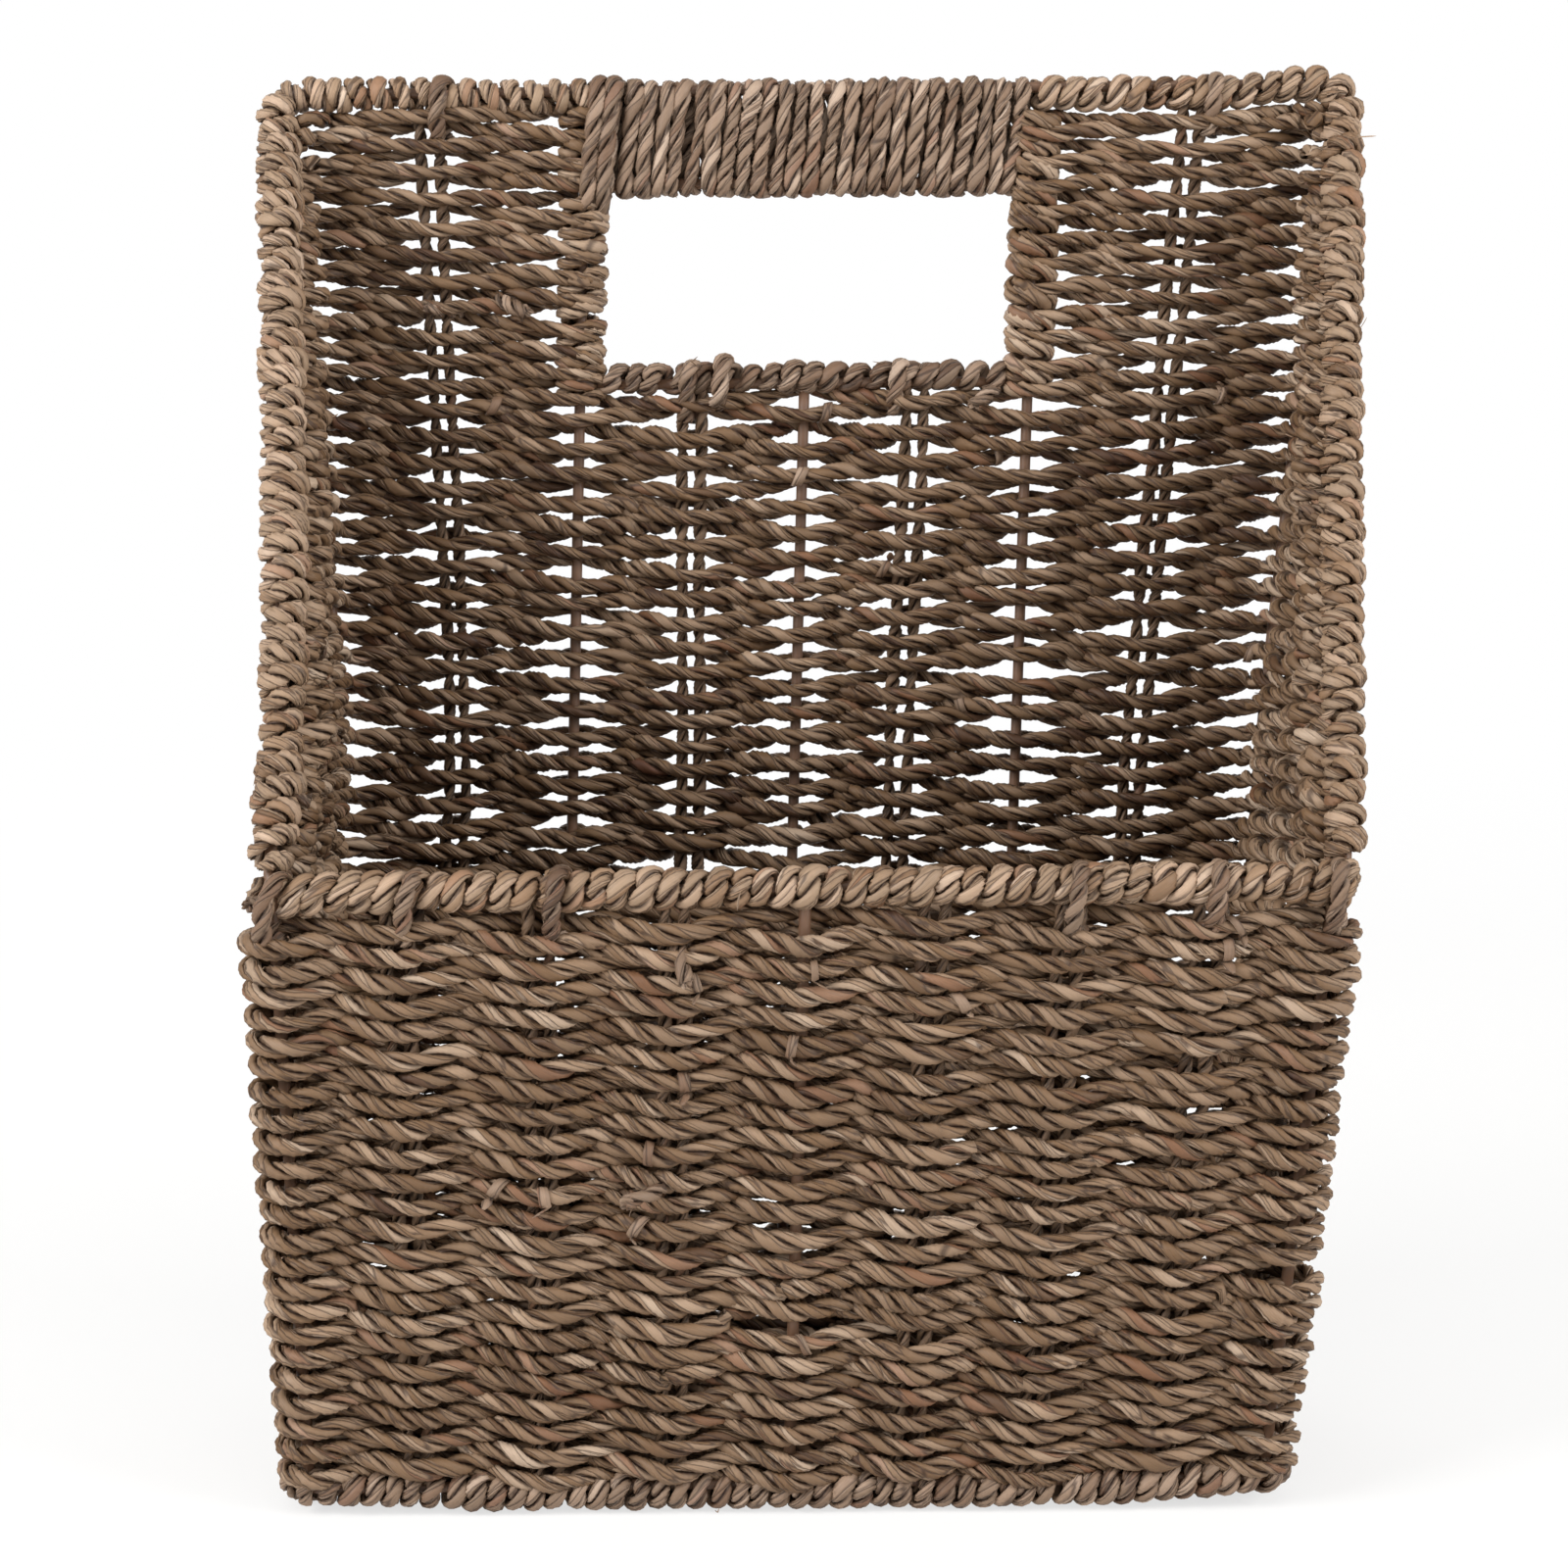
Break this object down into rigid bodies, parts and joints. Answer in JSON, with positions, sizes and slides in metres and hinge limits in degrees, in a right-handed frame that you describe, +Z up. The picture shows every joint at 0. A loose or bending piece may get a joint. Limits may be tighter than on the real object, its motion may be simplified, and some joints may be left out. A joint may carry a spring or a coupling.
{
  "type": "magazine basket",
  "caption": "Open-topped magazine basket of twisted seagrass rope woven over a wire frame, with a low front, sloping sides and a tall back with a bound carrying handle over a hand hole.",
  "frame": {"origin": "on the ground under the middle of the basket's outer box", "axes": "+Z up, the low front faces -Y, +X to the right as seen from the front"},
  "size_m": [0.33, 0.1455, 0.4027],
  "materials": {
    "woven_rope": "matte",
    "wound_rope": "matte",
    "stake_rope": "matte",
    "painted_wire": "satin"
  },
  "bodies": {
    "root": {"rim_frame_wire": "painted_wire", "base_frame_wire": "painted_wire", "corner_post_front_left": "painted_wire", "corner_post_front_right": "painted_wire", "corner_post_back_right": "painted_wire", "corner_post_back_left": "painted_wire", "front_centre_post": "painted_wire", "back_centre_post": "painted_wire", "hand_hole_jamb_left": "painted_wire", "hand_hole_jamb_right": "painted_wire", "handle_lower_bar": "painted_wire", "sill_wire": "painted_wire", "floor_cross_wire": "painted_wire", "front_stake_1": "stake_rope", "front_stake_2": "stake_rope", "front_stake_3": "stake_rope", "front_stake_4": "stake_rope", "front_stake_5": "stake_rope", "front_stake_6": "stake_rope", "back_stake_1": "stake_rope", "back_stake_2": "stake_rope", "back_stake_3": "stake_rope", "back_stake_4": "stake_rope", "left_side_stake_1": "stake_rope", "left_side_stake_2": "stake_rope", "left_side_stake_3": "stake_rope", "right_side_stake_1": "stake_rope", "right_side_stake_2": "stake_rope", "right_side_stake_3": "stake_rope", "floor_stake_1": "stake_rope", "floor_stake_2": "stake_rope", "floor_stake_3": "stake_rope", "floor_stake_4": "stake_rope", "floor_stake_5": "stake_rope", "floor_stake_6": "stake_rope", "front_weave": "woven_rope", "back_weave": "woven_rope", "back_wing_left": "woven_rope", "back_wing_right": "woven_rope", "left_side_weave": "woven_rope", "right_side_weave": "woven_rope", "floor_weave": "woven_rope", "left_side_rim_binding": "wound_rope", "right_side_rim_binding": "wound_rope", "top_rail_binding_left": "wound_rope", "top_rail_binding_right": "wound_rope", "front_rim_winding_left": "wound_rope", "front_rim_winding_right": "wound_rope", "handle_winding": "wound_rope", "sill_winding": "wound_rope", "base_binding_front": "wound_rope", "base_binding_right": "wound_rope", "base_binding_back": "wound_rope", "base_binding_left": "wound_rope"}
  },
  "joints": []
}
